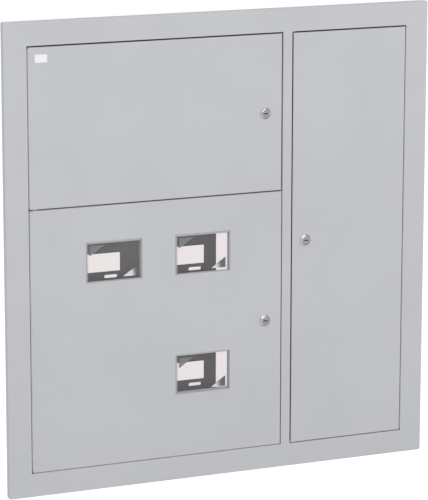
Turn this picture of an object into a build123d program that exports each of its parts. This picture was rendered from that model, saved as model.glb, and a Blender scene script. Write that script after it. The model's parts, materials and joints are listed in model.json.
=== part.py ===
import math
import os

from build123d import *

os.makedirs("parts", exist_ok=True)

# Flush cabinet for meters and wiring: a front frame with three doors, on an open-backed sheet box.
# X runs to the right, Y into the wall and Z up. The origin is the centre of the rear bolt pattern.
# Every size is in millimetres.

# Overall sizes
frame_width = 960.0
frame_height = 1000.0
overall_depth = 150.0
sheet = 1.2

# Front frame
frame_border = 50.0
frame_return = 14.0
frame_corner_radius = 4.0
bend_radius = 1.6
bend_chamfer = 1.2
left_opening_width = 570.5
mullion_width = 20.5
lip_depth = 20.0
stop_lip_width = 8.0
stop_lip_end_gap = 20.0

# Doors
door_depth = 15.0
hinge_gap = 3.0
right_hinge_gap = 2.5
upper_free_gap = 3.0
lower_free_gap = 2.0
right_free_gap = 3.0
top_gap = 3.0
bottom_gap = 1.5
split_gap = 2.5
upper_door_height = 335.0

# Hinge pins
pivot_inset = 15.0
pivot_depth = 7.5
pin_radius = 3.0
pin_clearance = 0.05
pin_reach = 7.0

# Locks
left_lock_inset = 38.5
right_lock_inset = 30.0
lock_base_radius = 12.75
lock_face_radius = 7.9
lock_height = 6.0
lock_rim = 1.8
lock_sides = 32
lock_body_radius = 9.0
lock_body_depth = 18.0
plug_radius = 6.4
plug_depth = 20.0
plug_play = 0.05
key_slot_length = 9.6
key_slot_width = 2.3
key_slot_depth = 5.0
tang_side = 8.0
tang_length = 3.2
lock_nut_width = 22.0
lock_nut_thickness = 4.0
cam_gap = 0.7
cam_thickness = 2.5
cam_reach = 42.0
cam_hub_half = 9.0
cam_tip_half = 6.5
cam_corner = 4.0
cam_nut_side = 11.0
cam_nut_height = 3.5

# Stiffeners inside the doors
stiffener_web = 20.0
stiffener_foot = 9.0
stiffener_depth = 10.0
stiffener_end_gap = 30.0

# Windows in the lower door
window_width = 123.0
window_height = 84.0
window_inset = 186.8
window_pitch = 200.1
window_row_height = 441.0
window_row_pitch = 260.0
retainer_border = 14.0
retainer_depth = 5.0
retainer_lip = 1.2
retainer_side_strip = 2.6
retainer_end_strip = 3.5
pane_border = 9.0
pane_thickness = 2.0

# Blank badge on the upper door
badge_width = 27.0
badge_height = 17.0
badge_thickness = 1.5
badge_rim = 1.4
badge_rim_depth = 0.4
badge_inset = 16.7
badge_drop = 18.0
badge_corner_radius = 1.5

# Box behind the frame
wall_setback = 6.0
rear_flange = 25.0
flange_gap = 0.3
wall_bolt_radius = 4.5
wall_bolt_edge = 12.4
wall_bolt_end = 100.0
partition_depth = 32.0
partition_flange = 15.0
centre_strip_width = 62.0
rail_front_depth = 23.0
rail_section = 20.0
rail_height = 30.0
tab_radius = 6.0
cable_opening_widths = {"left": 260.0, "right": 140.0}
cable_opening_depth = 66.0
cable_opening_setback = 75.0
shelf_slot_width = 110.0
shelf_slot_depth = 40.0
shelf_slot_setback = 95.0

# Meter plates and their rails
meter_pattern_inset = 189.7
meter_pattern_pitch = 194.4
meter_pattern_height = 407.75
meter_row_pitch = 258.35
meter_cutout_width = 120.0
meter_cutout_height = 40.0
meter_plate_margin = 28.4
meter_plate_height = 190.0
meter_plate_top = 46.0
pill_length = 29.3
pill_height = 6.9
pill_offset = 38.5
pill_drop = 11.0
meter_slot_length = 50.0
meter_slot_width = 6.0
meter_slot_drop = 90.0
hat_web = 16.0
hat_foot = 8.0
hat_depth = 17.6

# Breaker rows in the upper compartment
left_upright_inset = 50.0
right_upright_inset = 40.5
upright_web = 24.0
upright_foot = 12.0
cover_to_upright = 52.5
upright_end_gap = 1.0
din_width = 35.0
din_web = 27.0
din_depth = 7.5
din_thickness = 1.0
din_overhang = 20.0
din_row_pitch = 144.0
din_slot_length = 15.0
din_slot_width = 6.2
din_slot_pitch = 104.0
cover_overhang = 30.0
cover_height = 296.0
cover_return = 12.0
cover_height_above_split = 177.0
cover_front_depth = 50.0
cover_slot_inset = 24.0
cover_slot_height = 46.0
pillar_offset = 132.0
pillar_width = 8.0
screw_head_width = 8.0
screw_head_height = 3.5

# Neutral and earth bars
bar_overhang = 2.0
bar_height = 12.0
bar_thickness = 8.0
bar_chamfer = 0.8
neutral_holder_height = 22.0
neutral_holder_width = 20.0
neutral_holder_thickness = 16.0
earth_post_height = 16.0
earth_post_width = 12.0
earth_bar_rise = 148.0
terminal_count = 9
terminal_pitch = 48.0
terminal_width = 5.5
terminal_height = 2.6
earth_stud_radius = 4.0
earth_stud_length = 26.0
earth_stud_inset = 50.0

# Panel in the right compartment
panel_side_gap = 9.0
panel_foot = 12.0
panel_height = 720.0
panel_slot_length = 24.0
panel_slot_width = 6.0
panel_columns = 4
panel_rows = 7
panel_column_pitch = 46.0
panel_row_pitch = 96.0

# Soft stops on the mullion
bumper_width = 7.0
bumper_height = 24.0
bumper_clearance = 0.3
bumper_end_inset = 60.0

# Edges and planes worked out from the sizes
face_y = -overall_depth
face_plane = Plane.XZ.offset(overall_depth)
left_x0 = -frame_width / 2 + frame_border
left_x1 = left_x0 + left_opening_width
right_x0 = left_x1 + mullion_width
right_x1 = frame_width / 2 - frame_border
open_z1 = frame_height / 2 - frame_border
open_z0 = -open_z1
opening_height = open_z1 - open_z0
opening_mid_x = {"left": (left_x0 + left_x1) / 2, "right": (right_x0 + right_x1) / 2}
opening_width = {"left": left_x1 - left_x0, "right": right_x1 - right_x0}
mullion_x = (left_x1 + right_x0) / 2
wall_inner_x = right_x1 + sheet
wall_inner_z = open_z1 + sheet
wall_outer_x = wall_inner_x + sheet
wall_front_y = face_y + wall_setback
wall_bolt_spacing_x = 2 * (wall_outer_x - wall_bolt_edge)
wall_bolt_spacing_z = frame_height - 2 * wall_bolt_end
wall_length = -wall_front_y
partition_left = mullion_x - sheet / 2
partition_right = mullion_x + sheet / 2
upper_door_z0 = open_z1 - top_gap - upper_door_height
lower_door_z1 = upper_door_z0 - split_gap
split_z = (upper_door_z0 + lower_door_z1) / 2
pivot_y = face_y + pivot_depth
left_pivot_x = left_x0 + pivot_inset
right_pivot_x = right_x1 - pivot_inset
rail_front_y = face_y + rail_front_depth
rail_left_x = -wall_inner_x + flange_gap
rail_right_x = partition_left - flange_gap
plate_rear_y = -sheet - hat_depth
cover_front_y = face_y + cover_front_depth
upright_front_y = cover_front_y + cover_to_upright
upright_depth = -sheet - upright_front_y
upright_x = (left_x0 + left_upright_inset, left_x1 - right_upright_inset)
upright_spacing = upright_x[1] - upright_x[0]
upright_mid_x = sum(upright_x) / 2
bar_length = upright_spacing + neutral_holder_width + 2 * bar_overhang
din_length = upright_spacing + 2 * din_overhang
cover_width = upright_spacing + 2 * cover_overhang
cover_slot_width = upright_spacing - 2 * cover_slot_inset
cover_z = split_z + cover_height_above_split
din_rows = {"upper": cover_z + din_row_pitch / 2, "lower": cover_z - din_row_pitch / 2}

doors = {
    "upper": {
        "x": (left_x0 + hinge_gap, left_x1 - upper_free_gap),
        "z": (upper_door_z0, open_z1 - top_gap),
        "pivot": left_pivot_x,
        "lock": left_x1 - upper_free_gap - left_lock_inset,
    },
    "lower": {
        "x": (left_x0 + hinge_gap, left_x1 - lower_free_gap),
        "z": (open_z0 + bottom_gap, lower_door_z1),
        "pivot": left_pivot_x,
        "lock": left_x1 - lower_free_gap - left_lock_inset,
    },
    "right": {
        "x": (right_x0 + right_free_gap, right_x1 - right_hinge_gap),
        "z": (open_z0 + bottom_gap, open_z1 - top_gap),
        "pivot": right_pivot_x,
        "lock": right_x0 + right_free_gap + right_lock_inset,
    },
}

window_row_z = open_z0 + window_row_height
windows = {
    "1": {"x": left_x0 + window_inset, "z": window_row_z, "strip": 1},
    "2": {"x": left_x0 + window_inset + window_pitch, "z": window_row_z, "strip": 1},
    "3": {"x": left_x0 + window_inset + window_pitch, "z": window_row_z - window_row_pitch, "strip": -1},
}

meter_x = (left_x0 + meter_pattern_inset, left_x0 + meter_pattern_inset + meter_pattern_pitch)
meter_z = (open_z0 + meter_pattern_height, open_z0 + meter_pattern_height - meter_row_pitch)

pieces = {}


def face_rectangle(x_span, z_span):
    """Rectangle in the plane of the front face, from its two spans."""
    width = x_span[1] - x_span[0]
    height = z_span[1] - z_span[0]
    with Locations((sum(x_span) / 2, sum(z_span) / 2)):
        Rectangle(width, height)


def hat_line(web, foot, depth, thickness):
    """Open centre line of a hat section, feet on the base line."""
    rise = depth - thickness
    Polyline(
        (-web / 2 - foot, 0),
        (-web / 2, 0),
        (-web / 2, rise),
        (web / 2, rise),
        (web / 2, 0),
        (web / 2 + foot, 0),
    )
    offset(amount=thickness, side=Side.LEFT, kind=Kind.INTERSECTION)


def screw_heads(points):
    """Hexagon screw heads, each seated on the sheet that it holds."""
    with BuildPart() as screws:
        for x, y, z in points:
            with BuildSketch(Plane.XZ.offset(-y)):
                with Locations((x, z)):
                    RegularPolygon(screw_head_width / 2, 6, major_radius=False)
            extrude(amount=screw_head_height)
    return screws


# Front frame: one folded sheet with a return to the wall, lips round both openings and two stop lips
with BuildPart() as front_frame:
    with BuildSketch(face_plane):
        RectangleRounded(frame_width, frame_height, frame_corner_radius)
    extrude(amount=-frame_return)
    chamfer(front_frame.faces().sort_by(Axis.Y)[0].edges(), bend_chamfer)
    with BuildSketch(face_plane.offset(-sheet)):
        Rectangle(frame_width - 2 * sheet, frame_height - 2 * sheet)
    extrude(amount=-frame_return, mode=Mode.SUBTRACT)
    with BuildSketch(face_plane.offset(-sheet)):
        for side, mid_x in opening_mid_x.items():
            with Locations((mid_x, 0)):
                Rectangle(opening_width[side] + 2 * sheet, opening_height + 2 * sheet)
    extrude(amount=sheet - lip_depth)
    with BuildSketch(face_plane):
        for side, mid_x in opening_mid_x.items():
            with Locations((mid_x, 0)):
                Rectangle(opening_width[side], opening_height)
    extrude(amount=-lip_depth, mode=Mode.SUBTRACT)
    with BuildSketch(face_plane.offset(sheet - lip_depth)):
        stop_span = (open_z0 + stop_lip_end_gap, open_z1 - stop_lip_end_gap)
        face_rectangle((left_x1 - stop_lip_width, left_x1 + sheet), stop_span)
        face_rectangle((right_x0 - sheet, right_x0 + stop_lip_width), stop_span)
    extrude(amount=-sheet)
pieces["front_frame"] = front_frame


def side_wall(direction):
    """Side of the box, folded inward at the rear, with two bolt holes in the fold."""
    with BuildPart() as wall:
        with BuildSketch(Plane.XY.offset(-wall_inner_z)):
            with BuildLine():
                Polyline(
                    (direction * wall_outer_x, wall_front_y),
                    (direction * wall_outer_x, 0),
                    (direction * (wall_outer_x - rear_flange), 0),
                    (direction * (wall_outer_x - rear_flange), -sheet),
                    (direction * wall_inner_x, -sheet),
                    (direction * wall_inner_x, wall_front_y),
                    close=True,
                )
            make_face()
        extrude(amount=2 * wall_inner_z)
        with BuildSketch(Plane.XZ):
            with Locations((direction * wall_bolt_spacing_x / 2, 0)):
                with GridLocations(0, wall_bolt_spacing_z, 1, 2):
                    Circle(wall_bolt_radius)
        extrude(amount=sheet, mode=Mode.SUBTRACT)
    return wall


pieces["left_side_wall"] = side_wall(-1)
pieces["right_side_wall"] = side_wall(1)


stud_x = left_x0 + earth_stud_inset


def end_wall(direction, studs=()):
    """Top or bottom of the box, folded at the rear, with cable openings and any welded stud."""
    low_z = wall_inner_z if direction > 0 else -wall_inner_z - sheet
    with BuildPart() as wall:
        with BuildSketch(Plane.XY.offset(low_z)):
            with Locations((0, wall_front_y / 2)):
                Rectangle(2 * wall_outer_x, wall_length)
            for side, width in cable_opening_widths.items():
                with Locations((opening_mid_x[side], -cable_opening_setback)):
                    Rectangle(width, cable_opening_depth, mode=Mode.SUBTRACT)
        extrude(amount=sheet)
        flange_half = wall_outer_x - rear_flange - flange_gap
        flange_z = sorted((direction * (wall_inner_z + sheet - rear_flange), direction * wall_inner_z))
        with BuildSketch(Plane.XZ):
            face_rectangle((-flange_half, flange_half), flange_z)
        extrude(amount=sheet)
        for stud in studs:
            with BuildSketch(Plane.XY.offset(-wall_inner_z)):
                with Locations(stud):
                    Circle(earth_stud_radius)
            extrude(amount=earth_stud_length)
    return wall


pieces["top_wall"] = end_wall(1)
pieces["bottom_wall"] = end_wall(-1, [(stud_x, -cable_opening_setback)])

# Strip behind the mullion that carries the ends of the rails
centre_strip_end = wall_inner_z + sheet - rear_flange
with BuildPart() as centre_strip:
    with BuildSketch(Plane.XZ):
        with Locations((mullion_x, 0)):
            Rectangle(centre_strip_width, 2 * centre_strip_end)
    extrude(amount=sheet)
pieces["centre_strip"] = centre_strip

# Partition between the left and right compartments, folded to the right on three sides
partition_front_y = face_y + partition_depth
with BuildPart() as vertical_partition:
    with BuildSketch(Plane.YZ.offset(partition_left)):
        with Locations(((partition_front_y - sheet) / 2, 0)):
            Rectangle(-sheet - partition_front_y, 2 * wall_inner_z)
        with Locations((-cable_opening_setback, cover_z), (-cable_opening_setback, meter_z[1])):
            Rectangle(shelf_slot_depth, shelf_slot_width, mode=Mode.SUBTRACT)
    extrude(amount=sheet)
    with BuildSketch(Plane.XZ.offset(sheet)):
        face_rectangle((partition_right, partition_right + partition_flange), (-wall_inner_z, wall_inner_z))
    extrude(amount=sheet)
    with BuildSketch(Plane.XZ.offset(2 * sheet)):
        span = (partition_right, partition_right + partition_flange)
        face_rectangle(span, (wall_inner_z - sheet, wall_inner_z))
        face_rectangle(span, (-wall_inner_z, sheet - wall_inner_z))
    extrude(amount=-partition_front_y - 2 * sheet)
pieces["vertical_partition"] = vertical_partition

# Rail behind the line where the two left doors meet, with the tab that carries their shared pin
with BuildPart() as split_rail:
    rail_start = Plane((rail_left_x, rail_front_y, split_z), x_dir=(0, 1, 0), z_dir=(1, 0, 0))
    with BuildSketch(rail_start):
        with BuildLine():
            Polyline(
                (rail_section, -rail_height / 2),
                (0, -rail_height / 2),
                (0, rail_height / 2),
                (rail_section, rail_height / 2),
            )
            offset(amount=sheet, side=Side.RIGHT, kind=Kind.INTERSECTION)
        make_face()
    extrude(amount=rail_right_x - rail_left_x)
    with BuildSketch(Plane.XY.offset(split_z - sheet / 2)):
        with Locations((left_pivot_x, pivot_y)):
            Circle(tab_radius)
        with Locations((left_pivot_x, (pivot_y + rail_front_y) / 2)):
            Rectangle(2 * tab_radius, rail_front_y - pivot_y)
        with Locations((left_pivot_x, pivot_y)):
            Circle(pin_radius + pin_clearance, mode=Mode.SUBTRACT)
    extrude(amount=sheet)
pieces["split_rail"] = split_rail

# Shelf between the upper and the lower left compartments, folded up at the rear
shelf_front_y = rail_front_y + sheet
flange_left_x = rear_flange - wall_outer_x + flange_gap
flange_right_x = mullion_x - centre_strip_width / 2 - flange_gap
with BuildPart() as divider_shelf:
    with BuildSketch(Plane.XY.offset(split_z - sheet / 2)):
        with Locations(((rail_left_x + rail_right_x) / 2, (shelf_front_y - sheet) / 2)):
            Rectangle(rail_right_x - rail_left_x, -sheet - shelf_front_y)
        with Locations((upright_mid_x, face_y + shelf_slot_setback)):
            with GridLocations(2 * shelf_slot_width, 0, 2, 1):
                Rectangle(shelf_slot_width, shelf_slot_depth, mode=Mode.SUBTRACT)
    extrude(amount=sheet)
    with BuildSketch(Plane.XZ):
        face_rectangle((flange_left_x, flange_right_x), (split_z - sheet / 2, split_z + rear_flange))
    extrude(amount=sheet)
pieces["divider_shelf"] = divider_shelf


def meter_rail(z):
    """Hat rail across the back of the meter compartment, its feet on the rear folds."""
    start = Plane((rail_left_x, -sheet, z), x_dir=(0, 0, 1), z_dir=(1, 0, 0))
    with BuildPart() as rail:
        with BuildSketch(start):
            with BuildLine():
                hat_line(hat_web, hat_foot, hat_depth, sheet)
            make_face()
        extrude(amount=rail_right_x - rail_left_x)
    return rail


def meter_plate(columns, z):
    """Plate for one row of meters, with a cut-out and fixing slots for each one."""
    top_z = z + meter_cutout_height / 2 + meter_plate_top
    low_z = top_z - meter_plate_height
    half = meter_cutout_width / 2 + meter_plate_margin
    with BuildPart() as plate:
        with BuildSketch(Plane.XZ.offset(-plate_rear_y)):
            face_rectangle((columns[0] - half, columns[-1] + half), (low_z, top_z))
            for x in columns:
                with Locations((x, z)):
                    Rectangle(meter_cutout_width, meter_cutout_height, mode=Mode.SUBTRACT)
                pill_z = z - meter_cutout_height / 2 - pill_drop
                with Locations((x - pill_offset, pill_z), (x + pill_offset, pill_z)):
                    SlotOverall(pill_length, pill_height, mode=Mode.SUBTRACT)
                with Locations((x, z - meter_slot_drop)):
                    Rectangle(meter_slot_width, meter_slot_length, mode=Mode.SUBTRACT)
        extrude(amount=sheet)
    return plate


meter_rows = {"upper": (meter_x, meter_z[0]), "lower": (meter_x[1:], meter_z[1])}
plate_screws = []
rail_number = 0
for row, (columns, z) in meter_rows.items():
    pieces[f"meter_plate_{row}"] = meter_plate(columns, z)
    top_z = z + meter_cutout_height / 2 + meter_plate_top
    half = meter_cutout_width / 2 + meter_plate_margin - hat_web / 2
    screw_x = (columns[0] - half, columns[-1] + half)
    for rail_z in (top_z - hat_web / 2, top_z - meter_plate_height + hat_web / 2):
        rail_number += 1
        pieces[f"meter_rail_{rail_number}"] = meter_rail(rail_z)
        plate_screws.extend((x, plate_rear_y - sheet, rail_z) for x in screw_x)


def device_upright(x):
    """Deep hat post behind the breaker rows, from the shelf to the top of the box."""
    top_z = wall_inner_z - upright_end_gap
    low_z = split_z + sheet / 2 + upright_end_gap
    start = Plane((x, -sheet, top_z), x_dir=(1, 0, 0), z_dir=(0, 0, -1))
    with BuildPart() as upright:
        with BuildSketch(start):
            with BuildLine():
                hat_line(upright_web, upright_foot, upright_depth, sheet)
            make_face()
        extrude(amount=top_z - low_z)
    return upright


for side, x in zip(("left", "right"), upright_x):
    pieces[f"device_upright_{side}"] = device_upright(x)


def din_rail(z):
    """Top-hat rail for breakers, slotted along its web."""
    start = Plane((upright_mid_x - din_length / 2, upright_front_y, z), x_dir=(0, 0, 1), z_dir=(1, 0, 0))
    rise = din_depth - din_thickness
    with BuildPart() as rail:
        with BuildSketch(start):
            with BuildLine():
                Polyline(
                    (-din_width / 2, rise),
                    (-din_web / 2, rise),
                    (-din_web / 2, 0),
                    (din_web / 2, 0),
                    (din_web / 2, rise),
                    (din_width / 2, rise),
                )
                offset(amount=din_thickness, side=Side.LEFT, kind=Kind.INTERSECTION)
            make_face()
        extrude(amount=din_length)
        slot_count = int(din_length / din_slot_pitch) - 1
        with BuildSketch(Plane.XZ.offset(-upright_front_y)):
            with Locations((upright_mid_x, z)):
                with GridLocations(din_slot_pitch, 0, slot_count, 1):
                    Rectangle(din_slot_length, din_slot_width)
        extrude(amount=din_thickness, mode=Mode.SUBTRACT)
    return rail


for row, z in din_rows.items():
    pieces[f"din_rail_{row}"] = din_rail(z)
    for x in upright_x:
        plate_screws.append((x, upright_front_y - din_thickness, z))

# Cover over the breakers, with one long slot for each row
cover_points = [(x, cover_z + side * pillar_offset) for x in upright_x for side in (-1, 1)]
with BuildPart() as breaker_cover:
    with BuildSketch(Plane.XZ.offset(-cover_front_y)):
        with Locations((upright_mid_x, cover_z)):
            Rectangle(cover_width, cover_height)
    extrude(amount=-cover_return)
    chamfer(breaker_cover.faces().sort_by(Axis.Y)[0].edges(), bend_chamfer)
    with BuildSketch(Plane.XZ.offset(-cover_front_y - sheet)):
        with Locations((upright_mid_x, cover_z)):
            Rectangle(cover_width - 2 * sheet, cover_height - 2 * sheet)
    extrude(amount=-cover_return, mode=Mode.SUBTRACT)
    with BuildSketch(Plane.XZ.offset(-cover_front_y)):
        for z in din_rows.values():
            with Locations((upright_mid_x, z)):
                Rectangle(cover_slot_width, cover_slot_height)
    extrude(amount=-cover_return, mode=Mode.SUBTRACT)
pieces["breaker_cover"] = breaker_cover

# Pillars that hold the cover
with BuildPart() as cover_pillars:
    with BuildSketch(Plane.XZ.offset(-upright_front_y)):
        with Locations(*cover_points):
            RegularPolygon(pillar_width / 2, 6, major_radius=False)
    extrude(amount=upright_front_y - cover_front_y - sheet)
pieces["cover_pillars"] = cover_pillars
plate_screws.extend((x, cover_front_y, z) for x, z in cover_points)

# Neutral bar between the breaker rows, on two insulating holders
with BuildPart() as neutral_holders:
    with BuildSketch(Plane.XZ.offset(-upright_front_y)):
        with Locations(*[(x, cover_z) for x in upright_x]):
            Rectangle(neutral_holder_width, neutral_holder_thickness)
    extrude(amount=neutral_holder_height)
pieces["neutral_holders"] = neutral_holders

# Earth bar above the breaker rows, on two hexagon posts
earth_z = cover_z + earth_bar_rise
with BuildPart() as earth_posts:
    with BuildSketch(Plane.XZ.offset(-upright_front_y)):
        with Locations(*[(x, earth_z) for x in upright_x]):
            RegularPolygon(earth_post_width / 2, 6, major_radius=False)
    extrude(amount=earth_post_height)
pieces["earth_posts"] = earth_posts


def terminal_bar(z, rear_y):
    """Square brass bar along the row."""
    with BuildPart() as bar:
        with BuildSketch(Plane.XZ.offset(-rear_y)):
            with Locations((upright_mid_x, z)):
                Rectangle(bar_length, bar_height)
        extrude(amount=bar_thickness)
        chamfer(bar.edges().filter_by(Axis.X), bar_chamfer)
    return bar


neutral_rear_y = upright_front_y - neutral_holder_height
earth_rear_y = upright_front_y - earth_post_height
pieces["neutral_bar"] = terminal_bar(cover_z, neutral_rear_y)
pieces["earth_bar"] = terminal_bar(earth_z, earth_rear_y)

# Clamp screws along the two bars
with BuildPart() as terminal_screws:
    for z, rear_y in ((cover_z, neutral_rear_y), (earth_z, earth_rear_y)):
        with BuildSketch(Plane.XZ.offset(bar_thickness - rear_y)):
            with Locations((upright_mid_x, z)):
                with GridLocations(terminal_pitch, 0, terminal_count, 1):
                    RegularPolygon(terminal_width / 2, 6, major_radius=False)
        extrude(amount=terminal_height)
pieces["terminal_screws"] = terminal_screws

# Slotted panel in the right compartment, its feet on the centre strip and the side wall's fold
panel_x0 = partition_right + partition_flange + flange_gap + panel_foot
panel_x1 = wall_outer_x - panel_side_gap - panel_foot
panel_x = (panel_x0 + panel_x1) / 2
panel_web = panel_x1 - panel_x0
panel_z = panel_height / 2
with BuildPart() as wiring_panel:
    panel_start = Plane((panel_x, -sheet, panel_z), x_dir=(1, 0, 0), z_dir=(0, 0, -1))
    with BuildSketch(panel_start):
        with BuildLine():
            hat_line(panel_web, panel_foot, hat_depth, sheet)
        make_face()
    extrude(amount=panel_height)
    with BuildSketch(Plane.XZ.offset(-plate_rear_y)):
        with Locations((panel_x, 0)):
            with GridLocations(panel_column_pitch, panel_row_pitch, panel_columns, panel_rows):
                Rectangle(panel_slot_length, panel_slot_width)
    extrude(amount=-sheet, mode=Mode.SUBTRACT)
pieces["wiring_panel"] = wiring_panel

pieces["mounting_screws"] = screw_heads(plate_screws)

# Rubber stops on the mullion, just behind the doors' free edges
bumper_seat_y = face_y + lip_depth - sheet
bumper_length = lip_depth - sheet - door_depth - bumper_clearance
bumper_points = []
for x, door in ((left_x1 - stop_lip_width / 2, "upper"), (left_x1 - stop_lip_width / 2, "lower"),
                (right_x0 + stop_lip_width / 2, "right")):
    z_low, z_high = doors[door]["z"]
    bumper_points.extend([(x, z_low + bumper_end_inset), (x, z_high - bumper_end_inset)])
with BuildPart() as door_bumpers:
    with BuildSketch(Plane.XZ.offset(-bumper_seat_y)):
        with Locations(*bumper_points):
            Rectangle(bumper_width, bumper_height)
    extrude(amount=bumper_length)
pieces["door_bumpers"] = door_bumpers


def hinge_pins(x, spans):
    """Upright pins from the frame's lips, or through the rail's tab, into the doors."""
    with BuildPart() as pins:
        for low_z, high_z in spans:
            with BuildSketch(Plane.XY.offset(low_z)):
                with Locations((x, pivot_y)):
                    Circle(pin_radius)
            extrude(amount=high_z - low_z)
    return pins


bottom_pin = (open_z0, open_z0 + bottom_gap + pin_reach)
top_pin = (open_z1 - top_gap - pin_reach, open_z1)
split_pin = (lower_door_z1 - pin_reach, upper_door_z0 + pin_reach)
pieces["left_hinge_pins"] = hinge_pins(left_pivot_x, [bottom_pin, split_pin, top_pin])
pieces["right_hinge_pins"] = hinge_pins(right_pivot_x, [bottom_pin, top_pin])


def door_panel(door, glazed):
    """Door folded from one sheet, open at the rear, with holes for its pins, lock and windows."""
    x_span, z_span = door["x"], door["z"]
    inner_x = (x_span[0] + sheet, x_span[1] - sheet)
    inner_z = (z_span[0] + sheet, z_span[1] - sheet)
    with BuildPart() as panel:
        with BuildSketch(face_plane):
            face_rectangle(x_span, z_span)
        extrude(amount=-door_depth)
        fillet(panel.faces().sort_by(Axis.Y)[0].edges(), bend_radius)
        with BuildSketch(face_plane.offset(-sheet)):
            face_rectangle(inner_x, inner_z)
        extrude(amount=-door_depth, mode=Mode.SUBTRACT)
        with BuildSketch(face_plane):
            with Locations((door["lock"], sum(z_span) / 2)):
                Circle(lock_body_radius + plug_play)
            for window in glazed:
                with Locations((window["x"], window["z"])):
                    Rectangle(window_width, window_height)
        extrude(amount=-sheet, mode=Mode.SUBTRACT)
        with BuildSketch(Plane.XY.offset(z_span[0])):
            with Locations((door["pivot"], pivot_y)):
                Circle(pin_radius + pin_clearance)
        extrude(amount=z_span[1] - z_span[0], mode=Mode.SUBTRACT)
    return panel


def door_stiffener(door, x):
    """Upright hat section welded inside a door."""
    z_span = door["z"]
    start = Plane((x, face_y + sheet, z_span[0] + stiffener_end_gap))
    with BuildPart() as stiffener:
        with BuildSketch(start):
            with BuildLine():
                hat_line(stiffener_web, stiffener_foot, stiffener_depth, sheet)
            make_face()
        extrude(amount=z_span[1] - z_span[0] - 2 * stiffener_end_gap)
    return stiffener


stiffener_x = {
    "upper": (windows["1"]["x"] + windows["2"]["x"]) / 2,
    "lower": (windows["1"]["x"] + windows["2"]["x"]) / 2,
    "right": opening_mid_x["right"],
}
for name, door in doors.items():
    glazed = windows.values() if name == "lower" else ()
    pieces[f"{name}_door_panel"] = door_panel(door, glazed)
    pieces[f"{name}_door_stiffener"] = door_stiffener(door, stiffener_x[name])


def lock_plane(door):
    return Plane((door["lock"], face_y, sum(door["z"]) / 2))


def lock_axis(door):
    return Axis((door["lock"], face_y, sum(door["z"]) / 2), (0, 1, 0))


def lock_housing(door):
    """Lock barrel through the door, its many-sided head sloping up to the face, bored for its plug."""
    centre = (door["lock"], sum(door["z"]) / 2)
    with BuildPart() as housing:
        with BuildSketch(face_plane):
            with Locations(centre):
                RegularPolygon(lock_base_radius, lock_sides)
        extrude(amount=lock_height)
        face_edges = housing.edges().group_by(Axis.Y)[0]
        chamfer(face_edges, length=lock_height - lock_rim, length2=lock_base_radius - lock_face_radius)
        with BuildSketch(face_plane):
            with Locations(centre):
                Circle(lock_body_radius)
        extrude(amount=-lock_body_depth)
        with BuildSketch(face_plane.offset(lock_height)):
            with Locations(centre):
                Circle(plug_radius + plug_play)
        extrude(amount=-lock_height - lock_body_depth, mode=Mode.SUBTRACT)
    return housing


def lock_nut(door):
    """Hexagon nut that clamps the housing from inside."""
    with BuildPart() as nut:
        with BuildSketch(Plane.XZ.offset(overall_depth - sheet)):
            with Locations((door["lock"], sum(door["z"]) / 2)):
                RegularPolygon(lock_nut_width / 2, 6, major_radius=False)
                Circle(lock_body_radius + plug_play, mode=Mode.SUBTRACT)
        extrude(amount=-lock_nut_thickness)
    return nut


def lock_plug(door):
    """Turning plug with a key slot across its face and a square tang at the rear."""
    with BuildPart() as plug:
        with BuildSketch(lock_plane(door)):
            with BuildLine():
                Polyline(
                    (0, -lock_height),
                    (plug_radius, -lock_height),
                    (plug_radius, plug_depth),
                    (0, plug_depth),
                    close=True,
                )
            make_face()
        revolve(axis=lock_axis(door))
        with BuildSketch(Plane.XZ.offset(overall_depth - plug_depth)):
            with Locations((door["lock"], sum(door["z"]) / 2)):
                Rectangle(tang_side, tang_side)
        extrude(amount=-tang_length)
        with BuildSketch(Plane.XZ.offset(overall_depth + lock_height)):
            with Locations((door["lock"], sum(door["z"]) / 2)):
                Rectangle(key_slot_length, key_slot_width)
        extrude(amount=-key_slot_depth, mode=Mode.SUBTRACT)
    return plug


def lock_cam(door):
    """Flat tapered cam that hangs from the plug's tang and turns in behind the mullion."""
    with BuildPart() as cam:
        with BuildSketch(Plane.XZ.offset(overall_depth - plug_depth - cam_gap)):
            with Locations((door["lock"], sum(door["z"]) / 2)):
                Polygon(
                    (cam_corner - cam_hub_half, cam_hub_half),
                    (-cam_hub_half, cam_hub_half - cam_corner),
                    (-cam_hub_half, -cam_hub_half),
                    (-cam_tip_half, cam_corner - cam_reach),
                    (cam_corner - cam_tip_half, -cam_reach),
                    (cam_tip_half - cam_corner, -cam_reach),
                    (cam_tip_half, cam_corner - cam_reach),
                    (cam_hub_half, -cam_hub_half),
                    (cam_hub_half, cam_hub_half - cam_corner),
                    (cam_hub_half - cam_corner, cam_hub_half),
                    align=None,
                )
                Rectangle(tang_side + 2 * plug_play, tang_side + 2 * plug_play, mode=Mode.SUBTRACT)
        extrude(amount=-cam_thickness)
    return cam


def cam_nut(door):
    """Square nut that clamps the cam on the plug's tang."""
    with BuildPart() as nut:
        with BuildSketch(Plane.XZ.offset(overall_depth - plug_depth - tang_length)):
            with Locations((door["lock"], sum(door["z"]) / 2)):
                Rectangle(cam_nut_side, cam_nut_side)
        extrude(amount=-cam_nut_height)
    return nut


for name, door in doors.items():
    pieces[f"{name}_lock_housing"] = lock_housing(door)
    pieces[f"{name}_lock_nut"] = lock_nut(door)
    pieces[f"{name}_lock_plug"] = lock_plug(door)
    pieces[f"{name}_lock_cam"] = lock_cam(door)
    pieces[f"{name}_cam_nut"] = cam_nut(door)


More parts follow.
